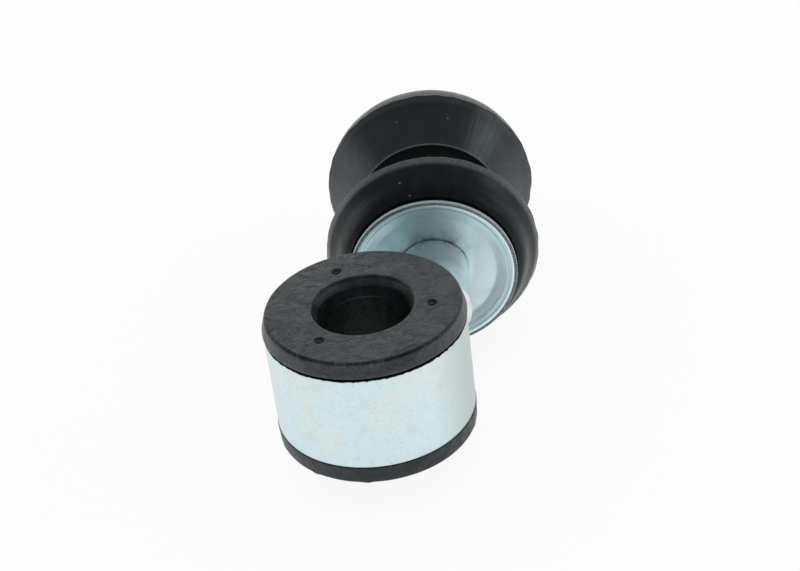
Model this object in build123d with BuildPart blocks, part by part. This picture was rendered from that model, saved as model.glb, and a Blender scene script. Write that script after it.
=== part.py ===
import os
from math import sqrt

from build123d import *

# Anti-roll bar link in millimetres. The origin is the centre of the eye's bore, +Z runs along that bore,
# +Y runs along the pin from the eye to the nut, and the pin stands to the +X side of the eye's centre.

# Eye: a short tube that holds the rubber bush of the bar
bar_radius = 11.5
eye_width = 26.0
eye_outer_radius = 25.0
eye_wall = 3.5
eye_edge_chamfer = 0.4
bush_clearance = 0.1
bush_lip_height = 4.5
bush_lip_draft = 0.95
bush_under_lip_draft = 0.6
bush_mouth_step = 1.15
bush_mouth_depth = 2.5

# Pin: shank, guide through the cushions, and threaded end. The shank starts a gap away from the eye's wall.
pin_offset = 16.5
shank_radius = 9.5
shank_gap = 2.0
guide_radius = 7.0
thread_radius = 6.0
thread_pitch = 1.5
thread_depth = 0.92
thread_relief = 1.2
thread_tail = 5.7
tip_chamfer = 1.0

# Weld between the shank and the eye
weld_leg = 1.6
weld_toe = 1.4
weld_swell = 0.5
weld_depth = 5.8

# Cup washers, cushions and the groove between them
seat_face = 39.5
sheet = 1.8
cup_flat_radius = 10.5
cup_crease_radius = 16.6
cup_crease_rise = 1.2
cup_root_radius = 19.6
cup_root_rise = 1.6
cup_rim_radius = 22.2
cup_rim_rise = 2.6
cup_rim_chamfer = 0.5
cup_bend = 1.3
washer_clearance = 0.1
thread_clearance = 0.2
cushion_length = 19.7
cushion_clearance = 0.3
cushion_cup_gap = 0.35
cushion_lip_gap = 0.65
cushion_small_radius = 20.2
groove_width = 10.8
nose_radius = 14.0

# Outer curve of each cushion, as radius and depth behind the washer's seat. Each was read from its own
# outline: the near cushion tapers to its washer, and the far one bulges.
near_back_edge = (28.45, 8.0)
near_swell = (27.6, 5.7)
near_shoulder = (26.0, 2.9)
far_back_edge = (28.7, 8.2)
far_swell = (28.75, 6.2)
far_shoulder = (27.7, 2.5)

# Lock nut with its plastic insert
nut_wall = 3.5
nut_height = 12.0
nut_collar_height = 3.2
nut_collar_wall = 1.1
nut_corner_chamfer = 0.8
nut_clearance = 0.05
insert_wall = 1.2
insert_height = 2.2
insert_lip = 0.4

# Places worked out from the sizes above
eye_half = eye_width / 2
eye_bore_radius = eye_outer_radius - eye_wall
bush_top = eye_half + bush_lip_height
bush_body_radius = eye_bore_radius - bush_clearance
shank_start = sqrt(eye_outer_radius**2 - pin_offset**2) + shank_gap
seat_back = seat_face + sheet
cushion_end = seat_back + cushion_length
middle = cushion_end + groove_width / 2
far_seat_back = 2 * middle - seat_back
far_seat_face = 2 * middle - seat_face
tip = far_seat_face + nut_height + thread_tail
guide_hole_radius = guide_radius + cushion_clearance
thread_hole_radius = thread_radius + thread_clearance
nut_hole_radius = thread_radius + nut_clearance
nut_flat_radius = thread_radius + nut_wall
insert_radius = thread_radius + insert_wall
nut_collar_radius = insert_radius + nut_collar_wall

pin_axis = Axis((pin_offset, 0, 0), (0, 1, 0))
pin_section = Plane(origin=(pin_offset, 0, 0), x_dir=(1, 0, 0), z_dir=(0, 0, 1))


def across_pin(place):
    """The plane that crosses the pin's axis at this distance from the eye, facing the nut."""
    return Plane(origin=(pin_offset, place, 0), x_dir=(1, 0, 0), z_dir=(0, 1, 0))


def cup_washer(hole_radius):
    """A cup washer at the near seat: a flat seat, a shallow cone and a short lip that stands to the eye."""
    crease = (cup_crease_radius, seat_face - cup_crease_rise)
    root = (cup_root_radius, seat_face - cup_root_rise)
    rim_front = seat_face - cup_rim_rise
    lip_inner_radius = cup_rim_radius - sheet
    with BuildPart() as washer:
        with BuildSketch(pin_section):
            with BuildLine():
                Polyline(
                    (hole_radius, seat_face),
                    (cup_flat_radius, seat_face),
                    crease,
                    root,
                    (lip_inner_radius, rim_front + cup_rim_chamfer),
                    (lip_inner_radius + cup_rim_chamfer, rim_front),
                    (cup_rim_radius, rim_front),
                    (cup_rim_radius, root[1] + sheet - cup_bend),
                    (root[0] + cup_bend, root[1] + cup_bend),
                    (crease[0], crease[1] + sheet),
                    (cup_flat_radius, seat_back),
                    (hole_radius, seat_back),
                    close=True,
                )
            make_face()
        revolve(axis=pin_axis)
    return washer.part


def cushion(*outer):
    """A rubber cushion at the near seat: a lip behind the washer, a sharp back edge, a cone and a nose."""
    back_edge, swell, shoulder = [(radius, seat_back + depth) for radius, depth in outer]
    lip_start = (cup_rim_radius + cushion_clearance, seat_back - cup_rim_rise + cushion_lip_gap)
    under_crease = (cup_crease_radius, seat_back - cup_crease_rise + cushion_cup_gap)
    with BuildPart() as rubber:
        with BuildSketch(pin_section):
            with BuildLine():
                bulge = ThreePointArc(back_edge, swell, shoulder)
                TangentArc(shoulder, lip_start, tangent=bulge % 1)
                Polyline(
                    lip_start,
                    under_crease,
                    (cup_flat_radius, seat_back),
                    (guide_hole_radius, seat_back),
                    (guide_hole_radius, middle),
                    (nose_radius, middle),
                    (nose_radius, cushion_end),
                    (cushion_small_radius, cushion_end),
                    back_edge,
                )
            make_face()
        revolve(axis=pin_axis)
    return rubber.part


os.makedirs("parts", exist_ok=True)

# Eye tube, pale zinc-plated steel
with BuildPart() as eye_ring:
    with BuildSketch(Plane.XY.offset(-eye_half)):
        Circle(eye_outer_radius)
        Circle(eye_bore_radius, mode=Mode.SUBTRACT)
    extrude(amount=eye_width)
    chamfer(eye_ring.edges().filter_by(GeomType.CIRCLE), eye_edge_chamfer)
eye_ring.part.label = "eye_ring"
export_step(eye_ring.part, "parts/eye_ring.step")

# Rubber bush, one piece with a lip on each end of the tube and a chamfered bore for the bar
with BuildPart() as eye_bush:
    with BuildSketch(Plane.XZ):
        with BuildLine():
            Polyline(
                (bar_radius, bush_mouth_depth - bush_top),
                (bar_radius + bush_mouth_step, -bush_top),
                (eye_outer_radius - bush_under_lip_draft, -bush_top),
                (eye_outer_radius, -eye_half),
                (bush_body_radius, -eye_half),
                (bush_body_radius, eye_half),
                (eye_outer_radius, eye_half),
                (eye_outer_radius - bush_lip_draft, bush_top),
                (bar_radius + bush_mouth_step, bush_top),
                (bar_radius, bush_top - bush_mouth_depth),
                close=True,
            )
        make_face()
    revolve(axis=Axis.Z)
eye_bush.part.label = "eye_bush"
export_step(eye_bush.part, "parts/eye_bush.step")

# Link pin: coped shank, guide for the near washer and both cushions, and a grooved thread
with BuildPart() as link_pin:
    with BuildSketch(pin_section):
        with BuildLine():
            Polyline(
                (0, shank_start),
                (shank_radius, shank_start),
                (shank_radius, seat_face),
                (guide_radius, seat_face),
                (guide_radius, far_seat_back),
                (thread_radius, far_seat_back),
                (thread_radius, tip - tip_chamfer),
                (thread_radius - tip_chamfer, tip),
                (0, tip),
                close=True,
            )
        make_face()
    revolve(axis=pin_axis)
    with BuildSketch(Plane.XY.offset(-shank_radius)):
        Circle(eye_outer_radius)
    extrude(amount=2 * shank_radius, mode=Mode.SUBTRACT)
    thread_run = tip - tip_chamfer - far_seat_back - thread_relief
    for turn in range(int(thread_run / thread_pitch)):
        root = far_seat_back + thread_relief + turn * thread_pitch + thread_pitch / 2
        with BuildSketch(pin_section):
            with BuildLine():
                Polyline(
                    (thread_radius - thread_depth, root),
                    (thread_radius + thread_clearance, root - thread_pitch / 2),
                    (thread_radius + thread_clearance, root + thread_pitch / 2),
                    close=True,
                )
            make_face()
        revolve(axis=pin_axis, mode=Mode.SUBTRACT)
link_pin.part.label = "link_pin"
export_step(link_pin.part, "parts/link_pin.step")

# Weld bead: fills the corner under the shank's end and follows the eye's wall round the cope
with BuildPart() as weld_bead:
    weld_low = shank_start - weld_depth
    with BuildSketch(pin_section):
        with BuildLine():
            Polyline(
                (0, weld_low),
                (shank_radius - weld_toe, weld_low),
                (shank_radius + weld_swell, weld_low + weld_toe),
                (shank_radius + weld_swell, shank_start),
                (shank_radius, shank_start + weld_swell),
                (0, shank_start + weld_swell),
                close=True,
            )
        make_face()
    revolve(axis=pin_axis)
    with BuildPart(mode=Mode.PRIVATE) as cope_band:
        with BuildSketch(across_pin(weld_low)):
            Circle(shank_radius + weld_toe)
        extrude(amount=eye_outer_radius)
        with BuildSketch(Plane.XY.offset(-eye_half)):
            Circle(eye_outer_radius + weld_leg)
        extrude(amount=eye_width, mode=Mode.INTERSECT)
    add(cope_band.part)
    with BuildSketch(across_pin(shank_start)):
        Circle(shank_radius)
    extrude(amount=eye_outer_radius, mode=Mode.SUBTRACT)
    with BuildSketch(Plane.XY.offset(-eye_half)):
        Circle(eye_outer_radius)
    extrude(amount=eye_width, mode=Mode.SUBTRACT)
weld_bead.part.label = "weld_bead"
export_step(weld_bead.part, "parts/weld_bead.step")

# Near cup washer, seated against the shank's shoulder
with BuildPart() as near_cup_washer:
    add(cup_washer(guide_radius + washer_clearance))
near_cup_washer.part.label = "near_cup_washer"
export_step(near_cup_washer.part, "parts/near_cup_washer.step")

# Far cup washer, the same pressing with the thread's hole, turned about the middle of the groove
with BuildPart() as far_cup_washer:
    add(mirror(cup_washer(thread_hole_radius), about=across_pin(middle)))
far_cup_washer.part.label = "far_cup_washer"
export_step(far_cup_washer.part, "parts/far_cup_washer.step")

# Near rubber cushion
with BuildPart() as near_cushion:
    add(cushion(near_back_edge, near_swell, near_shoulder))
near_cushion.part.label = "near_cushion"
export_step(near_cushion.part, "parts/near_cushion.step")

# Far rubber cushion, turned about the middle of the groove
with BuildPart() as far_cushion:
    add(mirror(cushion(far_back_edge, far_swell, far_shoulder), about=across_pin(middle)))
far_cushion.part.label = "far_cushion"
export_step(far_cushion.part, "parts/far_cushion.step")

# Lock nut: hexagon, round collar and a counterbore that holds the insert
hex_height = nut_height - nut_collar_height
with BuildPart() as lock_nut:
    with BuildSketch(across_pin(far_seat_face)):
        RegularPolygon(nut_flat_radius, 6, major_radius=False)
    extrude(amount=hex_height)
    with BuildSketch(pin_section):
        with BuildLine():
            Polyline(
                (0, far_seat_face),
                (nut_flat_radius + nut_corner_chamfer, far_seat_face),
                (2 * nut_flat_radius, far_seat_face + nut_corner_chamfer),
                (2 * nut_flat_radius, far_seat_face + hex_height - nut_corner_chamfer),
                (nut_flat_radius + nut_corner_chamfer, far_seat_face + hex_height),
                (0, far_seat_face + hex_height),
                close=True,
            )
        make_face()
    revolve(axis=pin_axis, mode=Mode.INTERSECT)
    with BuildSketch(across_pin(far_seat_face + hex_height)):
        Circle(nut_collar_radius)
    extrude(amount=nut_collar_height)
    with BuildSketch(across_pin(far_seat_face)):
        Circle(nut_hole_radius)
    extrude(amount=nut_height, mode=Mode.SUBTRACT)
    with BuildSketch(across_pin(far_seat_face + nut_height - insert_lip - insert_height)):
        Circle(insert_radius)
    extrude(amount=insert_height, mode=Mode.SUBTRACT)
lock_nut.part.label = "lock_nut"
export_step(lock_nut.part, "parts/lock_nut.step")

# Plastic locking ring, held under the nut's rolled lip
with BuildPart() as nut_insert:
    with BuildSketch(across_pin(far_seat_face + nut_height - insert_lip - insert_height)):
        Circle(insert_radius)
        Circle(nut_hole_radius, mode=Mode.SUBTRACT)
    extrude(amount=insert_height)
nut_insert.part.label = "nut_insert"
export_step(nut_insert.part, "parts/nut_insert.step")
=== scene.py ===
"""Looks of an anti-roll bar link: a rubber-bushed eye welded to a pin with washers, cushions and a nut."""

import math

import bmesh
import bpy
from mathutils import Matrix, Vector, noise


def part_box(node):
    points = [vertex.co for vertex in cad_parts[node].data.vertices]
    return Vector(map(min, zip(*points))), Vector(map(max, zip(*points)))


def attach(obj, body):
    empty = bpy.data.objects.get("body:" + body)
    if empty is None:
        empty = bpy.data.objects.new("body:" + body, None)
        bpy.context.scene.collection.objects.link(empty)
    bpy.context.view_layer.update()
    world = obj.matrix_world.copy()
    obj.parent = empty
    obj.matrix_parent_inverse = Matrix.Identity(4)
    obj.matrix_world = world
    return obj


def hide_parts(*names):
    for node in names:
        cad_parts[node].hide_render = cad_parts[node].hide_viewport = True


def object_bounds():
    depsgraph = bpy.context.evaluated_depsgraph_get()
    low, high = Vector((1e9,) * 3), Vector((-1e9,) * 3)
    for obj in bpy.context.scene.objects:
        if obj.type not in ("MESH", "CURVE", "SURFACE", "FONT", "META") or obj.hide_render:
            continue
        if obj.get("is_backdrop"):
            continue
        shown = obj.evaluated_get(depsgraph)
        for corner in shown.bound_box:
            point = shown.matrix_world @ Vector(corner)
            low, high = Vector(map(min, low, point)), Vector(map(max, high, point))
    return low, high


bl_info = {
    "name": "Anti-roll bar link",
    "version": (1, 0, 0),
    "blender": (4, 5, 0),
    "location": "3D View > Sidebar > Link",
    "description": "Makes the pieces and finishes of a short anti-roll bar link",
    "category": "Object",
}

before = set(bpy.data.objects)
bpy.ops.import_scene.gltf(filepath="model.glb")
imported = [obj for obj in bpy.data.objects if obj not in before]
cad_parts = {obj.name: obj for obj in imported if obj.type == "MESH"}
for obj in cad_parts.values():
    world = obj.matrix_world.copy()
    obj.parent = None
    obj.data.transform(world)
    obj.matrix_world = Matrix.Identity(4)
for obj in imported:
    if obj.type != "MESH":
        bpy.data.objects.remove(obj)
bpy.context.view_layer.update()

MM = 0.001
TURN = 2 * math.pi

# Places read from the frame
EYE_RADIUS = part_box("eye_ring")[1].x
EYE_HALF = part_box("eye_ring")[1].z
BUSH_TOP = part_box("eye_bush")[1].z
pin_low, pin_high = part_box("link_pin")
PIN_X = (pin_low.x + pin_high.x) / 2
SHANK_RADIUS = (pin_high.x - pin_low.x) / 2
TIP = pin_high.y
RIM_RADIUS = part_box("near_cup_washer")[1].z
NEAR_SEAT_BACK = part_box("near_cup_washer")[1].y
FAR_SEAT_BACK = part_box("far_cup_washer")[0].y
GROOVE_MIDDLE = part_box("near_cushion")[1].y


def length(name, default, description):
    """A size in metres that a user can change, given here in millimetres."""
    return bpy.props.FloatProperty(
        name=name, description=description, default=default * MM, unit="LENGTH", precision=5
    )


def amount(name, default, description, most=10):
    """A plain number from 0 up that a user can change."""
    return bpy.props.FloatProperty(name=name, description=description, default=default, min=0, max=most)


def colour(name, default, description):
    """A colour that a user can change."""
    return bpy.props.FloatVectorProperty(
        name=name, description=description, default=default, size=3, subtype="COLOR", min=0, max=1
    )


class LinkEyeSizes(bpy.types.PropertyGroup):
    """Sizes of the eye tube and its rubber bush"""

    wall: length("Tube wall", 3.5, "Wall of the steel tube")
    bar_radius: length("Bar radius", 11.5, "Radius of the bore that holds the bar")
    mouth_step: length("Mouth step", 1.15, "How far the chamfer widens the bore")
    mouth_depth: length("Mouth depth", 2.5, "Depth of the chamfer")
    lip_draft: length("Upper lip draft", 0.85, "How far the upper lip narrows to its face")
    under_draft: length("Lower lip draft", 0.05, "How far the lower lip narrows to its face")
    under_reach: length("Lower lip reach", 0.4, "How much deeper the lower lip is than the upper one")
    overhang: length("Lip overhang", 0.35, "How far the lips stand out over the tube")
    lip_roll: length("Lip roll", 0.7, "Rounding where the upper lip rolls under, above the tube")
    lip_gap: length("Lip gap", 0.3, "Open gap between the upper lip's edge and the tube")
    lip_round: length("Lip edge", 0.55, "Rounding of the upper lip's edge")
    under_round: length("Lower lip edge", 0.8, "Rounding of the lower lip's edge")
    body_gap: length("Bush clearance", 0.1, "Clearance between the bush and the tube")
    ledge_depth: length("Ledge depth", 5.6, "Depth of the faint ledge in the bore")
    ledge_step: length("Ledge step", 0.12, "Depth of the ledge below the surface of the bore")
    mark_circle: length("Mark circle", 17.0, "Radius of the circle of moulding marks")
    mark_radius: length("Mark radius", 1.3, "Radius of one moulding mark")
    mark_depth: length("Mark depth", 0.75, "Depth of one moulding mark")
    mark_angle: bpy.props.FloatProperty(
        name="Mark angle", description="First mark's angle", default=math.radians(113.4), subtype="ANGLE"
    )


class LinkPinSizes(bpy.types.PropertyGroup):
    """Sizes of the pin, its weld and its thread"""

    shank_start: length("Shank start", 20.8, "Distance of the shank's end from the eye's centre")
    guide_radius: length("Guide radius", 7.0, "Radius of the pin inside the cushions")
    thread_radius: length("Thread radius", 6.0, "Radius over the thread's crests")
    thread_pitch: length("Thread pitch", 1.5, "Travel of one turn of the nut")
    thread_depth: length("Thread depth", 0.92, "Depth of the thread")
    undercut: length("Undercut", 0.6, "Dark line between the shank and the washer")
    tip_chamfer: length("Tip chamfer", 1.0, "Chamfer at the thread's end")
    weld_swell: length("Weld swell", 0.05, "How far the weld stands out from the shank")
    weld_depth: length("Weld depth", 5.8, "How far the weld reaches below the shank's end")
    weld_leg: length("Weld leg", 1.6, "Height of the weld above the eye's wall")


class LinkWasherSizes(bpy.types.PropertyGroup):
    """Sizes of the two cup washers"""

    sheet: length("Sheet", 1.8, "Thickness of the sheet")
    flat_radius: length("Flat radius", 10.5, "Radius of the flat seat")
    crease_radius: length("Crease radius", 16.8, "Radius where the flat centre turns into the cone")
    crease_rise: length("Crease rise", 0.5, "Rise from the seat to the crease")
    root_radius: length("Lip root radius", 19.6, "Radius where the lip starts")
    root_rise: length("Lip root rise", 1.45, "Rise from the seat to the lip's root")
    rim_rise: length("Rim rise", 2.6, "Rise from the seat to the lip's edge")
    bend: length("Bend", 1.3, "Rounding of the bend behind the lip")
    edge_wear: length("Cut edge", 0.05, "Roughness of the cut edge")


class LinkCushionSizes(bpy.types.PropertyGroup):
    """Sizes of the two rubber cushions"""

    small_radius: length("Small end radius", 19.9, "Radius of the end that meets the plate")
    nose_radius: length("Nose radius", 14.0, "Radius of the nose in the plate's hole")
    nose_gap: length("Nose gap", 0.08, "Gap between the two noses")
    groove_width: length("Groove width", 10.8, "Width between the two small ends")
    hole_radius: length("Hole radius", 7.3, "Radius of the hole for the pin")
    under_gap: length("Washer gap", 0.35, "Gap behind the washer's cone")
    flash: length("Flash", 0.22, "Height of the moulding flash on the back edge")
    flash_width: length("Flash width", 0.4, "Width of the moulding flash")
    ridge: length("Ridge", 0.2, "Width of the raised line round the small end")


class LinkColours(bpy.types.PropertyGroup):
    """Colours of the finishes"""

    eye_zinc: colour("Eye zinc", (0.73, 0.89, 0.93), "Plating of the eye tube")
    # The warm zinc also colours the painted shade on the eye tube's side toward the pin.
    warm_zinc: colour("Warm zinc", (0.78, 0.88, 0.86), "Warmer clouds in the plating of the eye tube")
    washer_zinc: colour("Washer zinc", (0.70, 0.84, 0.86), "Plating of the washers and the pin")
    weld_zinc: colour("Weld", (0.90, 0.93, 0.93), "Plating over the weld")
    nut_zinc: colour("Nut zinc", (0.48, 0.58, 0.60), "Plating of the nut")
    stain: colour("Stain", (0.16, 0.12, 0.07), "Brown stain beside the shank")
    bush_rubber: colour("Bush rubber", (0.004, 0.005, 0.006), "Rubber of the bush")
    cushion_rubber: colour("Cushion rubber", (0.003, 0.004, 0.0045), "Rubber of the cushions")
    # The dust also paints highlights on the cushions' back edges and round their small ends.
    dust: colour("Dust", (0.16, 0.165, 0.165), "Pale dust on the rubber's edges")
    nylon: colour("Nylon", (0.72, 0.72, 0.66), "Locking ring of the nut")


class LinkStudio(bpy.types.PropertyGroup):
    """Floor, lights and camera"""

    floor_radius: length("Floor radius", 2500.0, "Radius of the floor")
    lens: bpy.props.FloatProperty(
        name="Lens", description="Focal length in millimetres", default=80.0, subtype="DISTANCE_CAMERA"
    )
    floor_white: amount("Floor white", 0.9, "How much of the floor's shadow is hidden", most=1)
    floor_gloss: amount("Floor in gloss", 0.6, "The same in the metal's reflections", most=1)
    world_strength: amount("Ambient", 0.9, "Strength of the light from all round")
    room_share: amount("Room", 0.25, "How light the ceiling and the room behind the camera are")
    panel_power: amount("Panels", 1.0, "Share of the full power of the panels")


# Mesh helpers


# Sectors of a turned piece, and steps of a rounded corner
SECTORS = 16
CORNER_STEPS = 5


def even(distance):
    """A spacing of points that is the same everywhere on an outline."""
    return lambda radius, place: distance


class Lathe:
    """Turns outlines about one axis: the eye's bore, or the pin."""

    def __init__(self, origin, along):
        self.origin = Vector(origin)
        self.along = Vector(along)

    def turn(self, outline, steps=24, spacing=even(1.2 * MM)):
        """A closed outline of (radius, place, rounding) turned into a closed mesh, one sector at a time."""
        bm = bmesh.new()
        self.draw(bm, outline, spacing)
        turning = {"cent": self.origin, "axis": self.along}
        sector = TURN / SECTORS
        bmesh.ops.spin(bm, geom=bm.verts[:] + bm.edges[:], angle=sector, steps=steps, **turning)
        whole = bm.verts[:] + bm.edges[:] + bm.faces[:]
        copies = SECTORS - 1
        bmesh.ops.spin(bm, geom=whole, angle=sector * copies, steps=copies, use_duplicate=True, **turning)
        bmesh.ops.remove_doubles(bm, verts=bm.verts, dist=0.001 * MM)
        bmesh.ops.recalc_face_normals(bm, faces=bm.faces)
        return bm

    def draw(self, bm, outline, spacing):
        """Draws the outline as edges, with its corners rounded and its long edges divided."""
        across = Vector((1, 0, 0))
        corners = [
            bm.verts.new(self.origin + across * radius + self.along * place) for radius, place, _ in outline
        ]
        bm.faces.new(corners)
        for corner, (_, _, rounding) in zip(corners, outline):
            if rounding:
                bmesh.ops.bevel(
                    bm,
                    geom=[corner],
                    offset=rounding,
                    offset_type="OFFSET",
                    segments=CORNER_STEPS,
                    profile=0.5,
                    affect="VERTICES",
                    material=-1,
                )
        for edge in bm.edges[:]:
            middle = (edge.verts[0].co + edge.verts[1].co) / 2
            cuts = int(edge.calc_length() / spacing(self.radius(middle), self.place(middle)))
            if cuts:
                bmesh.ops.subdivide_edges(bm, edges=[edge], cuts=cuts)
        bmesh.ops.delete(bm, geom=bm.faces[:], context="FACES_ONLY")
        on_axis = [e for e in bm.edges if all(self.radius(v.co) < 0.01 * MM for v in e.verts)]
        bmesh.ops.delete(bm, geom=on_axis, context="EDGES")

    def radius(self, point):
        """Distance of a point from the axis."""
        offset = point - self.origin
        return (offset - self.along * offset.dot(self.along)).length

    def place(self, point):
        """Place of a point along the axis."""
        return (point - self.origin).dot(self.along)

    def out(self, point):
        """Direction away from the axis at a point."""
        offset = point - self.origin
        return (offset - self.along * offset.dot(self.along)).normalized()


eye_lathe = Lathe((0, 0, 0), (0, 0, 1))
pin_lathe = Lathe((PIN_X, 0, 0), (0, 1, 0))


def between(p, q, r, t, share):
    """The number this share of the way from q to r, where p comes before them and t after."""
    bend = 2 * p - 5 * q + 4 * r - t
    return (2 * q + (r - p) * share + bend * share**2 + (3 * q - p - 3 * r + t) * share**3) / 2


def smooth_through(points, samples=4):
    """Points of a smooth curve through these points."""
    ends = [points[0], *points, points[-1]]
    curve = [
        tuple(between(*numbers, step / samples) for numbers in zip(*four))
        for four in zip(ends, ends[1:], ends[2:], ends[3:])
        for step in range(samples)
    ]
    return [*curve, points[-1]]


def swell(point, size, height):
    """A smooth random height at this point, with lumps of about this size."""
    return noise.noise(point / size) * height


def smooth_step(value, low, high):
    """0 below low, 1 above high, and a smooth rise between them."""
    share = min(max((value - low) / (high - low), 0), 1)
    return share * share * (3 - 2 * share)


def put(name, data):
    """A new object in the scene with this mesh, light or camera."""
    made = bpy.data.objects.new(name, data)
    bpy.context.scene.collection.objects.link(made)
    return made


def put_mesh(name, bm, finish):
    """A new object in the scene with this mesh and finish."""
    mesh = bpy.data.meshes.new(name)
    bm.to_mesh(mesh)
    bm.free()
    mesh.materials.append(finish)
    return put(name, mesh)


# Edges that bend more than this stay sharp
SHARP_BEND = math.radians(33)


def piece(name, bm, finish, body, node):
    """Makes the mesh an object that rides on a body and stands for a node of the frame."""
    for face in bm.faces:
        face.smooth = True
    for edge in bm.edges:
        edge.smooth = edge.calc_face_angle(0) < SHARP_BEND
    made = put_mesh(name, bm, finish)
    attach(made, body)
    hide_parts(node)


# Material helpers

# Places of the colour sockets on a mix node
MIX_FIRST = 6
MIX_SECOND = 7
MIX_RESULT = 2


class Nodes:
    """The shader nodes of a material or a world, emptied and built anew."""

    def __init__(self, owner):
        owner.use_nodes = True
        self.tree = owner.node_tree
        self.tree.nodes.clear()

    def add(self, kind, **settings):
        """A new node with these settings."""
        made = self.tree.nodes.new(kind)
        for key, value in settings.items():
            setattr(made, key, value)
        return made

    def join(self, value, socket):
        """Links an output to an input, or writes a plain value there."""
        if isinstance(value, bpy.types.NodeSocket):
            self.tree.links.new(value, socket)
        else:
            socket.default_value = value

    def feed(self, made, *values):
        """Joins these values to the first inputs of a node, and returns its first output."""
        for value, socket in zip(values, made.inputs):
            self.join(value, socket)
        return made.outputs[0]

    def maths(self, operation, *values):
        """The result of a maths operation on its values."""
        return self.feed(self.add("ShaderNodeMath", operation=operation), *values)

    def fade(self, value, low, high, start=0.0, end=1.0):
        """Maps low to start and high to end, smoothly, and holds the ends."""
        made = self.add("ShaderNodeMapRange", interpolation_type="SMOOTHSTEP")
        return self.feed(made, value, low, high, start, end)

    def blend(self, share, first, second):
        """Two values mixed by a share."""
        made = self.add("ShaderNodeMix")
        self.join(share, made.inputs["Factor"])
        self.join(first, made.inputs["A"])
        self.join(second, made.inputs["B"])
        return made.outputs["Result"]

    def split(self, vector):
        """The three coordinates of a vector, by name."""
        made = self.add("ShaderNodeSeparateXYZ")
        self.feed(made, vector)
        return made.outputs

    def rays(self):
        """Whether a ray comes from the camera, and whether off a gloss or through a clear thing."""
        path = self.add("ShaderNodeLightPath").outputs
        gloss = self.maths("MAXIMUM", path["Is Glossy Ray"], path["Is Transmission Ray"])
        return path["Is Camera Ray"], gloss


class Finish(Nodes):
    """A procedural material: a Principled shader fed by textures in object coordinates."""

    def __init__(self, name, metallic=0.0, specular=0.5, gloss_tint=(1, 1, 1)):
        self.material = bpy.data.materials.new(name)
        super().__init__(self.material)
        output = self.add("ShaderNodeOutputMaterial")
        self.shader = self.add("ShaderNodeBsdfPrincipled")
        self.shader.inputs["Metallic"].default_value = metallic
        self.shader.inputs["Specular IOR Level"].default_value = specular
        self.shader.inputs["Specular Tint"].default_value = (*gloss_tint, 1)
        self.join(self.shader.outputs["BSDF"], output.inputs["Surface"])
        self.object = self.add("ShaderNodeTexCoord").outputs["Object"]
        self.bumps = None

    def moved(self, place=(0, 0, 0), scale=(1, 1, 1)):
        """Object coordinates moved by a place and then stretched."""
        shift = self.add("ShaderNodeVectorMath", operation="SUBTRACT")
        stretch = self.add("ShaderNodeVectorMath", operation="MULTIPLY")
        return self.feed(stretch, self.feed(shift, self.object, place), scale)

    def axis(self, name):
        """One of the object coordinates."""
        return self.split(self.object)[name]

    def both(self, first, second):
        """The product of two shares."""
        return self.maths("MULTIPLY", first, second)

    def distance(self, place, scale):
        """Distance in metres from a point, a line or a plane, by which axes the scale keeps."""
        made = self.add("ShaderNodeVectorMath", operation="LENGTH")
        self.feed(made, self.moved(place, scale))
        return made.outputs["Value"]

    def spokes(self, place, scale):
        """Direction away from a line or a point, for grain that runs outward in streaks."""
        made = self.add("ShaderNodeVectorMath", operation="NORMALIZE")
        return self.feed(made, self.moved(place, scale))

    def grain(self, size, detail=3.0, rough=0.55, vector=None, twist=0.0):
        """Noise whose lumps are about this size in metres."""
        made = self.add("ShaderNodeTexNoise")
        values = {"Scale": 1 / size, "Detail": detail, "Roughness": rough, "Distortion": twist}
        for name, value in values.items():
            made.inputs[name].default_value = value
        return self.feed(made, vector or self.object)

    def flecks(self, spacing, patch, share):
        """Small scattered flecks about this spacing apart, kept only in patches of the other size."""
        cells = self.add("ShaderNodeTexVoronoi")
        cells.inputs["Scale"].default_value = 1 / spacing
        fleck = self.fade(self.feed(cells, self.object), 0.05, 0.10, share, 0)
        return self.both(fleck, self.fade(self.grain(patch, detail=1.0), 0.52, 0.60))

    def mixed(self, share, first, second):
        """Two colours mixed by a share."""
        made = self.add("ShaderNodeMix", data_type="RGBA")
        self.join(share, made.inputs["Factor"])
        self.join(as_colour(first), made.inputs[MIX_FIRST])
        self.join(as_colour(second), made.inputs[MIX_SECOND])
        return made.outputs[MIX_RESULT]

    def bump(self, height, strength, distance):
        """Adds a layer of bump below the ones already there."""
        made = self.add("ShaderNodeBump")
        self.join(height, made.inputs["Height"])
        self.join(strength, made.inputs["Strength"])
        made.inputs["Distance"].default_value = distance
        if self.bumps:
            self.join(self.bumps, made.inputs["Normal"])
        self.bumps = made.outputs["Normal"]

    def done(self, base, roughness):
        """Feeds the shader and returns the material."""
        self.join(base, self.shader.inputs["Base Color"])
        self.join(roughness, self.shader.inputs["Roughness"])
        if self.bumps:
            self.join(self.bumps, self.shader.inputs["Normal"])
        return self.material


def as_colour(value):
    """A socket as it is, or a colour with its alpha."""
    if isinstance(value, bpy.types.NodeSocket):
        return value
    return (*value[:3], 1.0)


def shade(value, factor):
    """A colour made darker or lighter."""
    return tuple(min(channel * factor, 1.0) for channel in value[:3])


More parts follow.
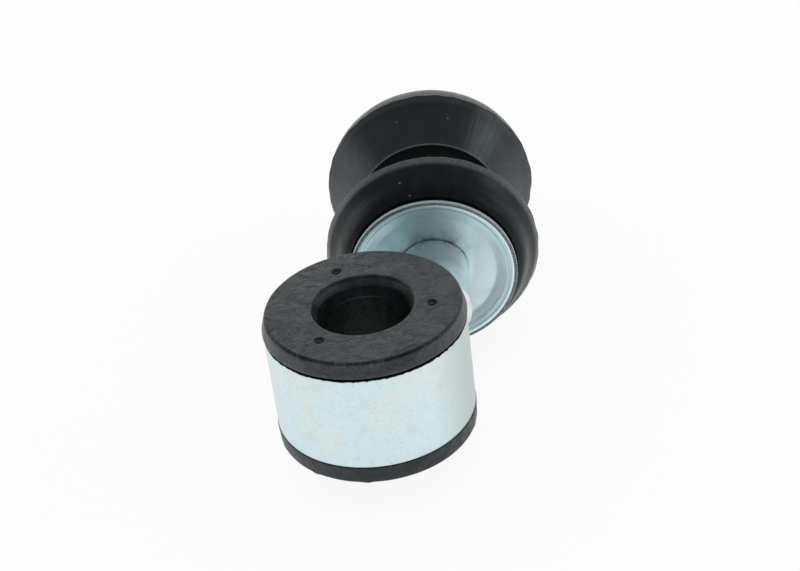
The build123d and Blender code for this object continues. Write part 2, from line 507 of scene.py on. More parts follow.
def eye_zinc(tint, warm):
    """Satin zinc: bluish and warmer clouds, dark flecks, drag marks, a dark band under the lip and painted
    shade toward the pin.
    """
    made = Finish("eye_zinc", metallic=1.0)
    cloud = made.grain(13 * MM, detail=4.0)
    patch = made.grain(4 * MM, detail=4.0, rough=0.65)
    fine = made.grain(0.7 * MM, detail=5.0, rough=0.7)
    base = made.mixed(made.fade(cloud, 0.38, 0.62), tint, warm)
    base = made.mixed(made.fade(patch, 0.45, 0.70, 0, 0.45), base, shade(warm, 0.84))
    base = made.mixed(made.fade(fine, 0.5, 0.75, 0, 0.55), base, shade(tint, 0.70))
    base = made.mixed(made.flecks(2.2 * MM, 4 * MM, 0.6), base, (0.22, 0.24, 0.23))
    # Painted shade: the side toward the pin is darker, in a darker warm tint.
    pin_side_painted_shade = made.fade(made.axis("X"), 14 * MM, 25 * MM, 0, 0.70)
    base = made.mixed(pin_side_painted_shade, base, shade(warm, 0.66))
    # Darker band along the tube's top edge, under the upper lip, with a ragged lower border.
    ragged = made.both(made.grain(1.3 * MM, detail=4.0), 1.0 * MM)
    dark_top_band = made.fade(made.maths("ADD", made.axis("Z"), ragged), EYE_HALF, EYE_HALF + 0.15 * MM)
    base = made.mixed(dark_top_band, base, (0.012, 0.013, 0.013))
    drag = made.grain(0.6 * MM, detail=2.0, vector=made.moved(scale=(1, 1, 0.06)))
    made.bump(drag, 0.10, 0.02 * MM)
    made.bump(fine, 0.20, 0.03 * MM)
    return made.done(base, made.fade(patch, 0.3, 0.7, 0.50, 0.42))


def pin_zinc(tint, stain):
    """Turned zinc on the shank, with small dark flecks beside the washer and painted shade in the roots of
    the thread.
    """
    made = Finish("pin_zinc", metallic=1.0)
    cloud = made.grain(6 * MM, detail=4.0)
    fine = made.grain(0.8 * MM, detail=5.0, rough=0.7)
    rings = made.grain(0.35 * MM, detail=2.0, vector=made.moved(scale=(0.02, 1, 0.02)))
    base = made.mixed(made.fade(cloud, 0.35, 0.65), shade(tint, 0.88), tint)
    base = made.mixed(made.fade(fine, 0.5, 0.8, 0, 0.25), base, shade(tint, 0.75))
    end = made.distance((0, NEAR_SEAT_BACK - 1.8 * MM, 0), (0, 1, 0))
    near = made.fade(end, 0.3 * MM, 3.5 * MM, 0.7, 0)
    patch = made.fade(made.grain(1.1 * MM, detail=4.0, rough=0.7), 0.53, 0.61)
    base = made.mixed(made.both(near, patch), base, stain)
    # Painted shade: the roots of the thread are darkened, up to just short of the tip.
    thread_root_painted_shade = made.fade(made.distance((PIN_X, 0, 0), (1, 0, 1)), 5.2 * MM, 5.8 * MM, 0.8, 0)
    thread_root_painted_shade = made.both(thread_root_painted_shade, made.fade(made.axis("Y"), TIP - 0.3 * MM, TIP - 0.1 * MM, 1, 0))
    base = made.mixed(thread_root_painted_shade, base, shade(tint, 0.15))
    made.bump(rings, 0.20, 0.03 * MM)
    made.bump(fine, 0.15, 0.03 * MM)
    return made.done(base, made.fade(cloud, 0.3, 0.7, 0.46, 0.38))


def washer_zinc(tint, stain):
    """Zinc on pressed sheet: soft clouds, faint rings, a painted highlight on the lip, a rough cut edge and
    a brown smudge by the shank.
    """
    made = Finish("washer_zinc", metallic=1.0)
    cloud = made.grain(9 * MM, detail=4.0)
    fine = made.grain(0.8 * MM, detail=5.0, rough=0.7)
    radius = made.distance((PIN_X, 0, 0), (1, 0, 1))
    base = made.mixed(made.fade(cloud, 0.35, 0.65), shade(tint, 0.90), shade(tint, 1.06))
    base = made.mixed(made.fade(fine, 0.50, 0.75, 0, 0.40), base, shade(tint, 0.78))
    near = made.fade(radius, SHANK_RADIUS, SHANK_RADIUS + 4.5 * MM, 0.5, 0)
    near = made.both(near, made.fade(made.axis("Y"), GROOVE_MIDDLE, FAR_SEAT_BACK, 1, 0))
    above = made.fade(made.axis("Z"), 3 * MM, 8 * MM)
    patch = made.fade(made.grain(2.8 * MM, detail=4.0, rough=0.6), 0.40, 0.70)
    base = made.mixed(made.both(made.both(near, above), patch), base, stain)
    base = made.mixed(made.flecks(2.6 * MM, 4 * MM, 0.5), base, (0.2, 0.22, 0.22))
    # Painted highlight: lighter towards the lip, from 18 to 20 mm out.
    base = made.mixed(made.fade(radius, 18 * MM, 20 * MM, 0, 0.8), base, shade(tint, 1.16))
    cut = made.fade(radius, RIM_RADIUS - 1.0 * MM, RIM_RADIUS - 0.75 * MM)
    torn = made.fade(made.grain(0.4 * MM, detail=4.0, rough=0.7), 0.35, 0.65, 0.7, 1.0)
    face = made.fade(radius, RIM_RADIUS - 0.15 * MM, RIM_RADIUS - 0.03 * MM, 1, 0.5)
    base = made.mixed(made.both(made.both(cut, torn), face), base, (0.10, 0.115, 0.115))
    rings = made.grain(0.9 * MM, detail=2.0, vector=radius)
    made.bump(rings, 0.06, 0.02 * MM)
    made.bump(fine, 0.12, 0.03 * MM)
    rough = made.fade(cloud, 0.3, 0.7, 0.36, 0.30)
    return made.done(base, made.maths("ADD", rough, made.both(cut, 0.25)))


def weld_zinc(tint):
    """Bright plating over a smooth weld."""
    made = Finish("weld_zinc", metallic=1.0)
    lumps = made.grain(1.2 * MM, detail=4.0)
    base = made.mixed(made.fade(lumps, 0.35, 0.70), shade(tint, 0.82), tint)
    made.bump(lumps, 0.2, 0.06 * MM)
    return made.done(base, made.fade(lumps, 0.3, 0.7, 0.30, 0.45))


def bush_rubber(tint, dust):
    """Moulded rubber: swirled streaks, fine grain, pale scuffs, a few specks of dust and a painted shine.
    """
    made = Finish("bush_rubber", gloss_tint=(0.86, 0.97, 1.0))
    swirl = made.grain(6 * MM, detail=4.0, rough=0.55, twist=1.0)
    across = made.moved(scale=(1.0, 0.45, 1.0))
    streak = made.grain(0.9 * MM, detail=6.0, rough=0.72, vector=across, twist=0.2)
    fine = made.grain(0.22 * MM, detail=3.0)
    base = made.mixed(made.fade(swirl, 0.35, 0.7), shade(tint, 0.4), shade(tint, 2.4))
    face = made.fade(made.distance((0, 0, 0), (1, 1, 0)), 11.6 * MM, 13.2 * MM, 0.15, 1)
    scuff = made.both(made.fade(streak, 0.48, 0.70), made.fade(swirl, 0.42, 0.60, 0.0, 0.30))
    base = made.mixed(made.both(scuff, face), base, dust)
    base = made.mixed(made.flecks(1.9 * MM, 3 * MM, 0.3), base, dust)
    # Painted shine: strongest on the walls and in the bore, weaker on the upper face, weakest on its
    # rounded edge, which paints a dark line there, and weaker lower down.
    depth = made.maths("SUBTRACT", BUSH_TOP, made.axis("Z"))
    edge = made.fade(depth, 0.45 * MM, 0.85 * MM, 0.30, 0.85)
    flat = made.fade(depth, 0.05 * MM, 0.25 * MM, 0.25, 0.0)
    upper = made.fade(made.axis("Z"), 0, 10 * MM, 0.6, 1.0)
    painted_shine = made.both(made.maths("ADD", edge, flat), upper)
    made.join(painted_shine, made.shader.inputs["Specular IOR Level"])
    made.bump(swirl, made.both(face, 0.8), 0.60 * MM)
    made.bump(streak, made.both(face, 0.32), 0.06 * MM)
    made.bump(fine, 0.2, 0.02 * MM)
    return made.done(base, made.fade(streak, 0.35, 0.65, 0.30, 0.52))


def cushion_rubber(tint, dust, small_end):
    """Near-black rubber: painted shine, strongest on the cones; pale dust with a painted highlight on the
    back edges and round the small end; and flecks.
    """
    made = Finish("cushion_rubber", gloss_tint=(0.82, 0.95, 1.0))
    cloud = made.grain(7 * MM, detail=6.0, rough=0.62, twist=0.8)
    patch = made.grain(1.6 * MM, detail=5.0, rough=0.7)
    fine = made.grain(0.3 * MM, detail=3.0)
    radius = made.distance((PIN_X, 0, 0), (1, 0, 1))
    base = made.mixed(made.fade(cloud, 0.35, 0.7), shade(tint, 0.5), shade(tint, 1.7))
    base = made.mixed(made.fade(patch, 0.55, 0.8, 0, 0.05), base, dust)
    # Pale dust and a painted highlight along the back edges, stronger on the near cushion.
    powder = made.fade(made.grain(0.5 * MM, detail=5.0, rough=0.7), 0.35, 0.70, 0.4, 1.0)
    near_side_dust_and_highlight = made.fade(made.axis("Y"), GROOVE_MIDDLE - 1 * MM, GROOVE_MIDDLE + 1 * MM, 0.55, 0.12)
    edge = made.both(made.fade(radius, 27.5 * MM, 28.2 * MM), near_side_dust_and_highlight)
    base = made.mixed(made.both(edge, powder), base, dust)
    # Dust and a painted highlight in a thin line round the small end.
    from_line = made.maths("ABSOLUTE", made.maths("SUBTRACT", radius, small_end))
    base = made.mixed(made.fade(from_line, 0.12 * MM, 0.20 * MM, 0.45, 0), base, dust)
    base = made.mixed(made.fade(radius, 16 * MM, 19.4 * MM, 0.05, 0), base, dust)
    base = made.mixed(made.flecks(3.4 * MM, 3 * MM, 0.7), base, dust)
    base = made.mixed(made.flecks(1.5 * MM, 2 * MM, 0.35), base, dust)
    # Painted shine: strong on the cones by the middle of the gap, weak on the fronts by the washers.
    outward = made.distance((0, GROOVE_MIDDLE, 0), (0, 1, 0))
    painted_shine = made.fade(outward, 12 * MM, 25 * MM, 0.8, 0.22)
    made.join(painted_shine, made.shader.inputs["Specular IOR Level"])
    brushed = made.grain(0.03, detail=3.0, vector=made.spokes((PIN_X, 0, 0), (1, 0, 1)))
    made.bump(cloud, 0.4, 0.25 * MM)
    made.bump(brushed, 0.25, 0.10 * MM)
    made.bump(patch, 0.25, 0.06 * MM)
    made.bump(fine, 0.15, 0.02 * MM)
    rough = made.fade(cloud, 0.3, 0.7, 0.36, 0.27)
    return made.done(base, made.both(rough, made.fade(brushed, 0.3, 0.7, 0.85, 1.15)))


def nut_zinc(tint):
    """Zinc on the nut, with fine tool marks."""
    made = Finish("nut_zinc", metallic=1.0)
    cloud = made.grain(4 * MM, detail=4.0)
    fine = made.grain(0.5 * MM, detail=4.0)
    base = made.mixed(made.fade(cloud, 0.35, 0.7), shade(tint, 0.88), shade(tint, 1.05))
    made.bump(fine, 0.2, 0.03 * MM)
    return made.done(base, made.fade(cloud, 0.3, 0.7, 0.40, 0.28))


def nylon(tint):
    """Off-white nylon with a faint cloud."""
    made = Finish("insert_nylon", specular=0.45)
    cloud = made.grain(2 * MM, detail=4.0)
    base = made.mixed(made.fade(cloud, 0.35, 0.7), shade(tint, 0.9), tint)
    made.bump(cloud, 0.1, 0.03 * MM)
    return made.done(base, made.fade(cloud, 0.3, 0.7, 0.42, 0.50))


# Pieces


class LINK_OT_eye_tube(bpy.types.Operator):
    """Make the steel tube of the eye"""

    bl_idname = "link.eye_tube"
    bl_label = "Eye tube"

    def execute(self, context):
        sizes = context.scene.link_eye
        colours = context.scene.link_colours
        inner = EYE_RADIUS - sizes.wall
        edge = 0.2 * MM
        outline = [
            (inner, -EYE_HALF, edge),
            (EYE_RADIUS, -EYE_HALF, edge),
            (EYE_RADIUS, EYE_HALF, edge),
            (inner, EYE_HALF, edge),
        ]
        bm = eye_lathe.turn(outline, spacing=even(3 * MM))
        finish = eye_zinc(colours.eye_zinc, colours.warm_zinc)
        piece("eye_tube", bm, finish, "link", "eye_ring")
        return {"FINISHED"}


# Nubs of rubber below the lower lip: their angles in degrees, their reach across and their height
NUB_ANGLES = (-14, -96, -128, -160, 60, 140)
NUB_SIZE = 1.1 * MM
NUB_HEIGHT = 0.3 * MM


def round_the_eye(radius, angles):
    """Points at these angles on a circle about the eye's axis."""
    return [Vector((math.cos(angle), math.sin(angle), 0)) * radius for angle in angles]


class LINK_OT_eye_bush(bpy.types.Operator):
    """Make the rubber bush with its lips, chamfered bore and moulding marks"""

    bl_idname = "link.eye_bush"
    bl_label = "Eye bush"

    def execute(self, context):
        sizes = context.scene.link_eye
        colours = context.scene.link_colours
        body = EYE_RADIUS - sizes.wall - sizes.body_gap
        bore = sizes.bar_radius
        mouth = bore + sizes.mouth_step
        straight = BUSH_TOP - sizes.mouth_depth
        ledge = BUSH_TOP - sizes.ledge_depth
        low = BUSH_TOP + sizes.under_reach
        outline = [
            (bore, -straight, 0.4 * MM),
            (mouth, -low, 0.4 * MM),
            (EYE_RADIUS - sizes.under_draft, -low, sizes.under_round),
            (EYE_RADIUS + sizes.overhang / 2, -EYE_HALF, 0.35 * MM),
            (body, -EYE_HALF, 0),
            (body, EYE_HALF, 0),
            (EYE_RADIUS - 1.5 * MM, EYE_HALF, 0),
            (EYE_RADIUS - 1.2 * MM, EYE_HALF + sizes.lip_gap, 0),
            (EYE_RADIUS + sizes.overhang, EYE_HALF + sizes.lip_gap, sizes.lip_roll),
            (EYE_RADIUS - sizes.lip_draft, BUSH_TOP, sizes.lip_round),
            (mouth, BUSH_TOP, 0.5 * MM),
            (bore, straight, 0.5 * MM),
            (bore, ledge, 0.1 * MM),
            (bore + sizes.ledge_step, ledge - sizes.ledge_step, 0.1 * MM),
        ]

        def spacing(radius, place):
            """Closer points where the moulding marks lie."""
            return 0.3 * MM if self.marked(radius, place) else 1.2 * MM

        bm = eye_lathe.turn(outline, spacing=spacing)
        self.mark(bm, sizes)
        finish = bush_rubber(colours.bush_rubber, colours.dust)
        piece("eye_bush_rubber", bm, finish, "bush", "eye_bush")
        return {"FINISHED"}

    def marked(self, radius, place):
        """Whether a point lies on the ring of the upper face where the marks are."""
        away = abs(radius - bpy.context.scene.link_eye.mark_circle)
        return place > BUSH_TOP - 0.1 * MM and away < 2 * MM

    def mark(self, bm, sizes):
        """Sinks the marks, each with a pip in it, hangs the nubs and makes the lips a little uneven."""
        marks = round_the_eye(sizes.mark_circle, [sizes.mark_angle + step * TURN / 3 for step in range(3)])
        nubs = round_the_eye(EYE_RADIUS, [math.radians(angle) for angle in NUB_ANGLES])
        for vert in bm.verts:
            point = vert.co.copy()
            flat = Vector((point.x, point.y, 0))
            radius = flat.length
            if self.marked(radius, point.z):
                away = min((flat - mark).length for mark in marks)
                hollow = 1 - smooth_step(away, sizes.mark_radius * 0.72, sizes.mark_radius)
                pip = 1 - smooth_step(away, sizes.mark_radius * 0.25, sizes.mark_radius * 0.55)
                vert.co.z += sizes.mark_depth * (0.75 * pip - hollow)
            if point.z < -EYE_HALF - 2 * MM and radius > EYE_RADIUS - 5 * MM:
                away = min((flat - nub).length for nub in nubs)
                vert.co.z -= NUB_HEIGHT * math.exp(-((away / NUB_SIZE) ** 2))
            if radius > 13 * MM and abs(point.z) > EYE_HALF:
                vert.co.z += swell(point, 5 * MM, 0.03 * MM)
                vert.co += eye_lathe.out(point) * swell(point, 6 * MM, 0.05 * MM)


def seat_on_eye(bm):
    """Moves what lies inside the eye's wall out into the wall."""
    wall = EYE_RADIUS - 0.5 * MM
    for vert in bm.verts:
        inside = math.hypot(vert.co.x, vert.co.y)
        if 0 < inside < wall:
            vert.co.x *= wall / inside
            vert.co.y *= wall / inside


class LINK_OT_pin(bpy.types.Operator):
    """Make the pin with its shank, guide and helical thread"""

    bl_idname = "link.pin"
    bl_label = "Pin and thread"

    def execute(self, context):
        sizes = context.scene.link_pin
        colours = context.scene.link_colours
        seat = NEAR_SEAT_BACK - context.scene.link_washer.sheet
        root = sizes.thread_radius - sizes.thread_depth
        stub = SHANK_RADIUS - 0.3 * MM
        stub_end = sizes.shank_start - 0.6 * MM
        outline = [
            (0, stub_end, 0),
            (stub, stub_end, 0),
            (stub, sizes.shank_start, 0),
            (SHANK_RADIUS, sizes.shank_start, 0),
            (SHANK_RADIUS, seat - sizes.undercut, 0.15 * MM),
            (SHANK_RADIUS - sizes.undercut, seat - sizes.undercut, 0),
            (SHANK_RADIUS - sizes.undercut, seat, 0),
            (sizes.guide_radius, seat, 0),
            (sizes.guide_radius, FAR_SEAT_BACK, 0.2 * MM),
            (root, FAR_SEAT_BACK, 0),
            (root, TIP - sizes.tip_chamfer, 0.2 * MM),
            (root - sizes.tip_chamfer, TIP, 0.2 * MM),
            (0, TIP, 0),
        ]
        bm = pin_lathe.turn(outline, steps=8)
        seat_on_eye(bm)
        self.wind_thread(bm, sizes)
        finish = pin_zinc(colours.washer_zinc, colours.stain)
        piece("pin", bm, finish, "link", "link_pin")
        return {"FINISHED"}

    def wind_thread(self, bm, sizes):
        """Winds one ridge round the core, from the shoulder to the tip, one turn at a time."""
        start = FAR_SEAT_BACK + sizes.thread_pitch * 0.6
        turns = int((TIP - sizes.tip_chamfer * 0.6 - start) / sizes.thread_pitch)
        steps = 64
        foot = sizes.thread_radius - sizes.thread_depth - 0.15 * MM
        half_base = sizes.thread_pitch * 0.46
        half_crest = sizes.thread_pitch * 0.08
        ridge = [
            (foot, -half_base),
            (sizes.thread_radius, -half_crest),
            (sizes.thread_radius, half_crest),
            (foot, half_base),
        ]
        before = set(bm.verts)
        corners = [bm.verts.new((PIN_X + radius, start + place, 0)) for radius, place in ridge]
        edges = [bm.edges.new(pair) for pair in zip(corners, corners[1:] + corners[:1])]
        turning = {"cent": pin_lathe.origin, "axis": pin_lathe.along, "angle": TURN}
        rise = pin_lathe.along * sizes.thread_pitch
        bmesh.ops.spin(bm, geom=corners + edges, dvec=rise / steps, steps=steps, **turning)
        turn = [vert for vert in bm.verts if vert not in before]
        faces = list({face for vert in turn for face in vert.link_faces})
        edges = list({edge for vert in turn for edge in vert.link_edges})
        turning["angle"] = TURN * (turns - 1)
        copies = {"dvec": rise, "steps": turns - 1, "use_duplicate": True}
        bmesh.ops.spin(bm, geom=turn + edges + faces, **copies, **turning)
        thread = [vert for vert in bm.verts if vert not in before]
        bmesh.ops.remove_doubles(bm, verts=thread, dist=0.002 * MM)
        # The ridge runs out into the core at both ends
        run_out = 0.9 * MM
        for vert in (v for v in bm.verts if v not in before):
            radius = pin_lathe.radius(vert.co)
            room = min(vert.co.y - start + half_base, TIP - vert.co.y)
            top = foot + (sizes.thread_radius - foot) * smooth_step(room, 0, run_out)
            if radius > top:
                vert.co -= pin_lathe.out(vert.co) * (radius - top)
        open_ends = [edge for edge in bm.edges if edge.is_boundary]
        bmesh.ops.holes_fill(bm, edges=open_ends, sides=0)
        bmesh.ops.recalc_face_normals(bm, faces=bm.faces)


class LINK_OT_weld(bpy.types.Operator):
    """Make the smooth weld that joins the shank to the eye's wall"""

    bl_idname = "link.weld"
    bl_label = "Weld"

    def execute(self, context):
        sizes = context.scene.link_pin
        end = sizes.shank_start
        low = end - sizes.weld_depth
        top = end + 0.3 * MM
        crest = SHANK_RADIUS + sizes.weld_swell
        outline = [
            (0, low, 0),
            (SHANK_RADIUS - 2.0 * MM, low, 0.5 * MM),
            (SHANK_RADIUS - 1.0 * MM, low + 2.4 * MM, 1.0 * MM),
            (crest, end - 1.2 * MM, 0.6 * MM),
            (crest, end - 0.1 * MM, 0.2 * MM),
            (SHANK_RADIUS - 0.2 * MM, top, 0.1 * MM),
            (0, top, 0),
        ]
        bm = pin_lathe.turn(outline, spacing=even(0.5 * MM))
        for vert in bm.verts:
            out = pin_lathe.out(vert.co)
            side = PIN_X + SHANK_RADIUS * out.x
            wall = math.sqrt(max(EYE_RADIUS**2 - side**2, 0))
            vert.co.y += max(0, wall + sizes.weld_leg - top)
            weight = smooth_step(pin_lathe.radius(vert.co), SHANK_RADIUS - 0.8 * MM, crest)
            vert.co += out * weight * swell(vert.co, 2 * MM, 0.08 * MM)
        seat_on_eye(bm)
        bmesh.ops.recalc_face_normals(bm, faces=bm.faces)
        finish = weld_zinc(context.scene.link_colours.weld_zinc)
        piece("weld", bm, finish, "link", "weld_bead")
        return {"FINISHED"}


class LINK_OT_cup_washers(bpy.types.Operator):
    """Make the two pressed cup washers"""

    bl_idname = "link.cup_washers"
    bl_label = "Cup washers"

    def execute(self, context):
        sizes = context.scene.link_washer
        pin = context.scene.link_pin
        colours = context.scene.link_colours
        finish = washer_zinc(colours.washer_zinc, colours.stain)
        near = (NEAR_SEAT_BACK - sizes.sheet, 1, pin.guide_radius + 0.1 * MM)
        far = (FAR_SEAT_BACK + sizes.sheet, -1, pin.thread_radius + 0.2 * MM)
        self.press("near_washer", finish, "link", "near_cup_washer", *near)
        self.press("far_washer", finish, "far_washer", "far_cup_washer", *far)
        return {"FINISHED"}

    def press(self, name, finish, body, node, seat, way, hole):
        """One washer: its seat's open face, the way to its back, and the radius of its hole."""
        sizes = bpy.context.scene.link_washer
        crease = seat - way * sizes.crease_rise
        root = seat - way * sizes.root_rise
        lip = RIM_RADIUS - sizes.sheet
        front = seat - way * sizes.rim_rise
        back = way * sizes.sheet
        outline = [
            (hole, seat, 0.15 * MM),
            (sizes.flat_radius, seat, 0.5 * MM),
            (sizes.crease_radius, crease, 0.35 * MM),
            (sizes.root_radius, root, 0.5 * MM),
            (lip, front, 0.6 * MM),
            (RIM_RADIUS, front, 0.12 * MM),
            (RIM_RADIUS, root + back - way * sizes.bend, 0.7 * MM),
            (sizes.root_radius + sizes.bend, root + way * sizes.bend, 0.5 * MM),
            (sizes.crease_radius, crease + back, 0.9 * MM),
            (sizes.flat_radius, seat + back, 0.8 * MM),
            (hole, seat + back, 0.15 * MM),
        ]
        bm = pin_lathe.turn(outline, steps=20, spacing=even(0.7 * MM))
        cut_edge = RIM_RADIUS - 0.9 * MM
        for vert in bm.verts:
            weight = smooth_step(pin_lathe.radius(vert.co), cut_edge, RIM_RADIUS)
            if weight:
                rough = noise.turbulence(vert.co / (0.7 * MM), 3, False) - 0.5
                vert.co += pin_lathe.along * rough * weight * sizes.edge_wear
        piece(name, bm, finish, body, node)


class LINK_OT_cushions(bpy.types.Operator):
    """Make the two rubber cushions with their lips, sharp back edges, cones and noses"""

    bl_idname = "link.cushions"
    bl_label = "Cushions"

    def execute(self, context):
        colours = context.scene.link_colours
        small_radius = context.scene.link_cushion.small_radius
        finish = cushion_rubber(colours.cushion_rubber, colours.dust, small_radius)
        near = [(23.9, -0.7), (24.8, 0.9), (25.4, 2.4), (26.0, 3.7)]
        near += [(26.8, 4.9), (27.6, 5.9), (28.1, 6.8), (28.4, 7.5)]
        far = [(24.5, -1.0), (26.6, 0.5), (27.9, 2.7), (28.7, 5.6), (28.8, 7.4)]
        self.mould("near_cushion_rubber", finish, "near_rubber", "near_cushion", NEAR_SEAT_BACK, 1, near)
        self.mould("far_cushion_rubber", finish, "far_rubber", "far_cushion", FAR_SEAT_BACK, -1, far)
        return {"FINISHED"}

    def mould(self, name, finish, body, node, seat, way, outer):
        """One cushion: its washer's back, the way to its small end, and its outer curve in millimetres."""
        flash = bpy.context.scene.link_cushion.flash
        back_radius = outer[-1][0] * MM
        bm = pin_lathe.turn(self.outline(seat, way, outer))
        for vert in bm.verts:
            radius = pin_lathe.radius(vert.co)
            if radius > RIM_RADIUS + 0.5 * MM:
                out = pin_lathe.out(vert.co)
                skin = smooth_step(radius, RIM_RADIUS + 0.5 * MM, RIM_RADIUS + 3 * MM)
                vert.co += out * swell(vert.co, 9 * MM, 0.08 * MM) * skin
                ragged = smooth_step(radius, back_radius - 0.1 * MM, back_radius + flash)
                vert.co += out * ragged * swell(vert.co, 3.5 * MM, flash)
        piece(name, bm, finish, body, node)

    def outline(self, seat, way, outer):
        """The seat against the washer, the lip, the flash on the back edge, the cone and the nose."""
        sizes = bpy.context.scene.link_cushion
        washer = bpy.context.scene.link_washer
        small_end = GROOVE_MIDDLE - way * sizes.groove_width / 2
        nose_end = GROOVE_MIDDLE - way * sizes.nose_gap / 2
        crease = seat - way * (washer.crease_rise - sizes.under_gap)
        lip = (RIM_RADIUS + 0.3 * MM, seat - way * (washer.rim_rise - 0.65 * MM))
        curve = smooth_through([lip, *((radius * MM, seat + way * depth * MM) for radius, depth in outer)])
        back_radius = outer[-1][0] * MM
        back_edge = seat + way * (outer[-1][1] + 0.6) * MM
        return [
            (sizes.hole_radius, seat, 0.3 * MM),
            (washer.flat_radius, seat, 0.6 * MM),
            (washer.crease_radius, crease, 0.8 * MM),
            *((radius, place, 0) for radius, place in curve),
            (back_radius + sizes.flash, back_edge - way * sizes.flash_width / 2, 0.08 * MM),
            (back_radius + sizes.flash, back_edge, 0.08 * MM),
            (back_radius - 0.1 * MM, back_edge + way * 0.4 * MM, 0.08 * MM),
            (sizes.small_radius, small_end - way * sizes.ridge, 0),
            (sizes.small_radius + 0.1 * MM, small_end, 0.06 * MM),
            (sizes.small_radius - sizes.ridge, small_end, 0.06 * MM),
            (sizes.small_radius - 2 * sizes.ridge, small_end - way * 0.1 * MM, 0),
            (sizes.nose_radius, small_end, 0.4 * MM),
            (sizes.nose_radius, nose_end, 0.3 * MM),
            (sizes.hole_radius, nose_end, 0.2 * MM),
        ]


class LINK_OT_lock_nut(bpy.types.Operator):
    """Finish the lock nut and its nylon ring, whose shapes come from the frame"""

    bl_idname = "link.lock_nut"
    bl_label = "Lock nut"

    def execute(self, context):
        colours = context.scene.link_colours
        finishes = {"lock_nut": nut_zinc(colours.nut_zinc), "nut_insert": nylon(colours.nylon)}
        for node, finish in finishes.items():
            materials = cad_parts[node].data.materials
            materials.clear()
            materials.append(finish)
        return {"FINISHED"}


# How much higher the white walls reach behind the link than beside it
BACKDROP_RISE = 0.6


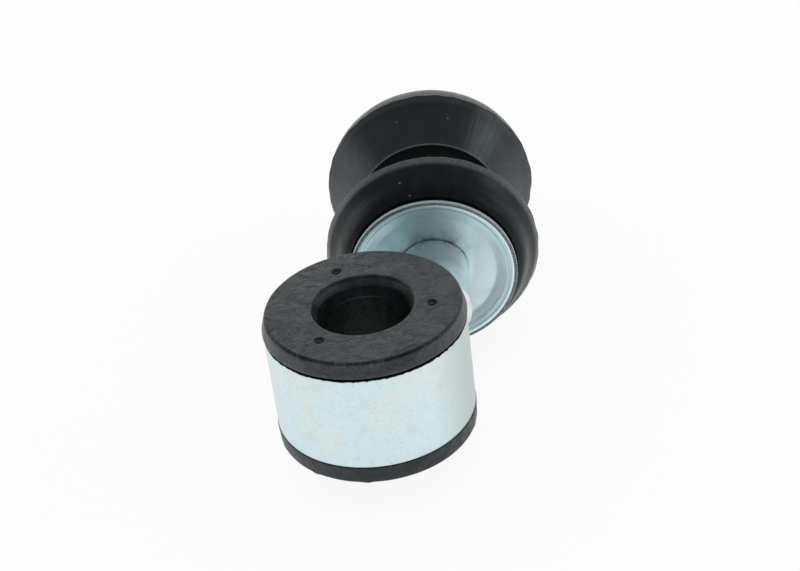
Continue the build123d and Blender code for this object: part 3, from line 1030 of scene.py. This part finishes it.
class LINK_OT_stage(bpy.types.Operator):
    """Make the floor, the lights and the camera"""

    bl_idname = "link.stage"
    bl_label = "Stage"

    def execute(self, context):
        studio = context.scene.link_studio
        self.floor(studio)
        self.sky(studio)
        self.panels(studio)
        self.camera(studio)
        context.scene.view_settings.view_transform = "Standard"
        return {"FINISHED"}

    def floor(self, studio):
        """A white floor just under the cushions, with part of the link's shadow."""
        bm = bmesh.new()
        bmesh.ops.create_circle(bm, cap_ends=True, segments=64, radius=studio.floor_radius)
        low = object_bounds()[0].z
        bmesh.ops.translate(bm, verts=bm.verts, vec=(0, 0, low - 0.1 * MM))
        put_mesh("floor", bm, self.floor_finish(studio))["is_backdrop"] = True

    def floor_finish(self, studio):
        """Dull white, with a glow that only the camera and gloss see, which pales the shadow."""
        material = bpy.data.materials.new("floor")
        nodes = Nodes(material)
        plain = nodes.add("ShaderNodeBsdfDiffuse")
        plain.inputs["Color"].default_value = (0.9, 0.9, 0.9, 1)
        glow = nodes.add("ShaderNodeEmission")
        camera, gloss = nodes.rays()
        white = nodes.blend(gloss, 0.0, studio.floor_gloss)
        white = nodes.blend(camera, white, studio.floor_white)
        mix = nodes.add("ShaderNodeMixShader")
        mixed = nodes.feed(mix, white, plain.outputs[0], glow.outputs[0])
        nodes.join(mixed, nodes.add("ShaderNodeOutputMaterial").inputs["Surface"])
        return material

    def sky(self, studio):
        """White to the eye. Gloss sees white walls, a dim ceiling and a dim room behind the camera."""
        world = bpy.data.worlds.new("studio")
        bpy.context.scene.world = world
        nodes = Nodes(world)
        light = nodes.add("ShaderNodeBackground")
        light.inputs["Color"].default_value = (1, 1, 1, 1)
        toward = nodes.split(nodes.add("ShaderNodeTexCoord").outputs["Generated"])
        height = nodes.maths("MULTIPLY_ADD", toward["Y"], -BACKDROP_RISE, toward["Z"])
        seen = nodes.blend(nodes.fade(toward["Y"], -0.9, 0.6), studio.room_share, 1.0)
        seen = nodes.blend(nodes.fade(height, 0.0, 0.5), seen, studio.room_share)
        camera, gloss = nodes.rays()
        strength = nodes.blend(gloss, studio.world_strength, seen)
        strength = nodes.blend(camera, strength, 1.0)
        nodes.join(strength, light.inputs["Strength"])
        nodes.join(light.outputs[0], nodes.add("ShaderNodeOutputWorld").inputs["Surface"])

    def panels(self, studio):
        """Soft panels behind, to the left and to the right, all facing the link."""
        aim = Vector((0.01, 0.04, 0))
        for name, place, width, height, power in (
            ("panel_back", (0.10, 1.10, 0.75), 1.4, 0.8, 1.1),
            ("panel_left", (-1.10, 0.10, 0.20), 0.9, 0.5, 0.4),
            ("panel_right", (1.02, -0.16, 0.50), 0.6, 0.5, 1.1),
        ):
            light = bpy.data.lights.new(name, "AREA")
            light.shape = "RECTANGLE"
            light.size = width
            light.size_y = height
            light.energy = power * studio.panel_power
            made = put(name, light)
            made.location = place
            made.rotation_euler = (aim - Vector(place)).to_track_quat("-Z", "Y").to_euler()

    def camera(self, studio):
        """The photograph's camera, in the part's frame."""
        lens = bpy.data.cameras.new("camera")
        lens.lens = studio.lens
        lens.sensor_width = 36
        lens.clip_start = 0.01
        right = Vector((0.99439, -0.00693, -0.10558))
        up = Vector((0.09186, 0.55178, 0.82891))
        back = Vector((0.05251, -0.83396, 0.54932))
        place = Vector((32.04, -356.57, 256.78)) * MM
        turn = Matrix((right, up, back)).transposed().to_4x4()
        made = put("camera", lens)
        made.matrix_world = Matrix.Translation(place) @ turn
        bpy.context.scene.camera = made


class LINK_PT_panel(bpy.types.Panel):
    """Lists the pieces of the link"""

    bl_idname = "LINK_PT_panel"
    bl_label = "Anti-roll bar link"
    bl_space_type = "VIEW_3D"
    bl_region_type = "UI"
    bl_category = "Link"

    def draw(self, context):
        for operator in OPERATORS:
            self.layout.operator(operator.bl_idname)
        for group in GROUPS:
            box = self.layout.box()
            for key in GROUPS[group].__annotations__:
                box.prop(getattr(context.scene, group), key)


GROUPS = {
    "link_eye": LinkEyeSizes,
    "link_pin": LinkPinSizes,
    "link_washer": LinkWasherSizes,
    "link_cushion": LinkCushionSizes,
    "link_colours": LinkColours,
    "link_studio": LinkStudio,
}
OPERATORS = (
    LINK_OT_eye_tube,
    LINK_OT_eye_bush,
    LINK_OT_pin,
    LINK_OT_weld,
    LINK_OT_cup_washers,
    LINK_OT_cushions,
    LINK_OT_lock_nut,
    LINK_OT_stage,
)


def register():
    """Registers the groups, the operators and the panel."""
    for key, group in GROUPS.items():
        bpy.utils.register_class(group)
        setattr(bpy.types.Scene, key, bpy.props.PointerProperty(type=group))
    for operator in OPERATORS:
        bpy.utils.register_class(operator)
    bpy.utils.register_class(LINK_PT_panel)


def unregister():
    """Takes back what register did."""
    bpy.utils.unregister_class(LINK_PT_panel)
    for operator in reversed(OPERATORS):
        bpy.utils.unregister_class(operator)
    for key, group in GROUPS.items():
        delattr(bpy.types.Scene, key)
        bpy.utils.unregister_class(group)


def main():
    """Makes every piece in order."""
    register()
    bpy.ops.link.eye_tube()
    bpy.ops.link.eye_bush()
    bpy.ops.link.pin()
    bpy.ops.link.weld()
    bpy.ops.link.cup_washers()
    bpy.ops.link.cushions()
    bpy.ops.link.lock_nut()
    bpy.ops.link.stage()


if __name__ == "__main__":
    main()
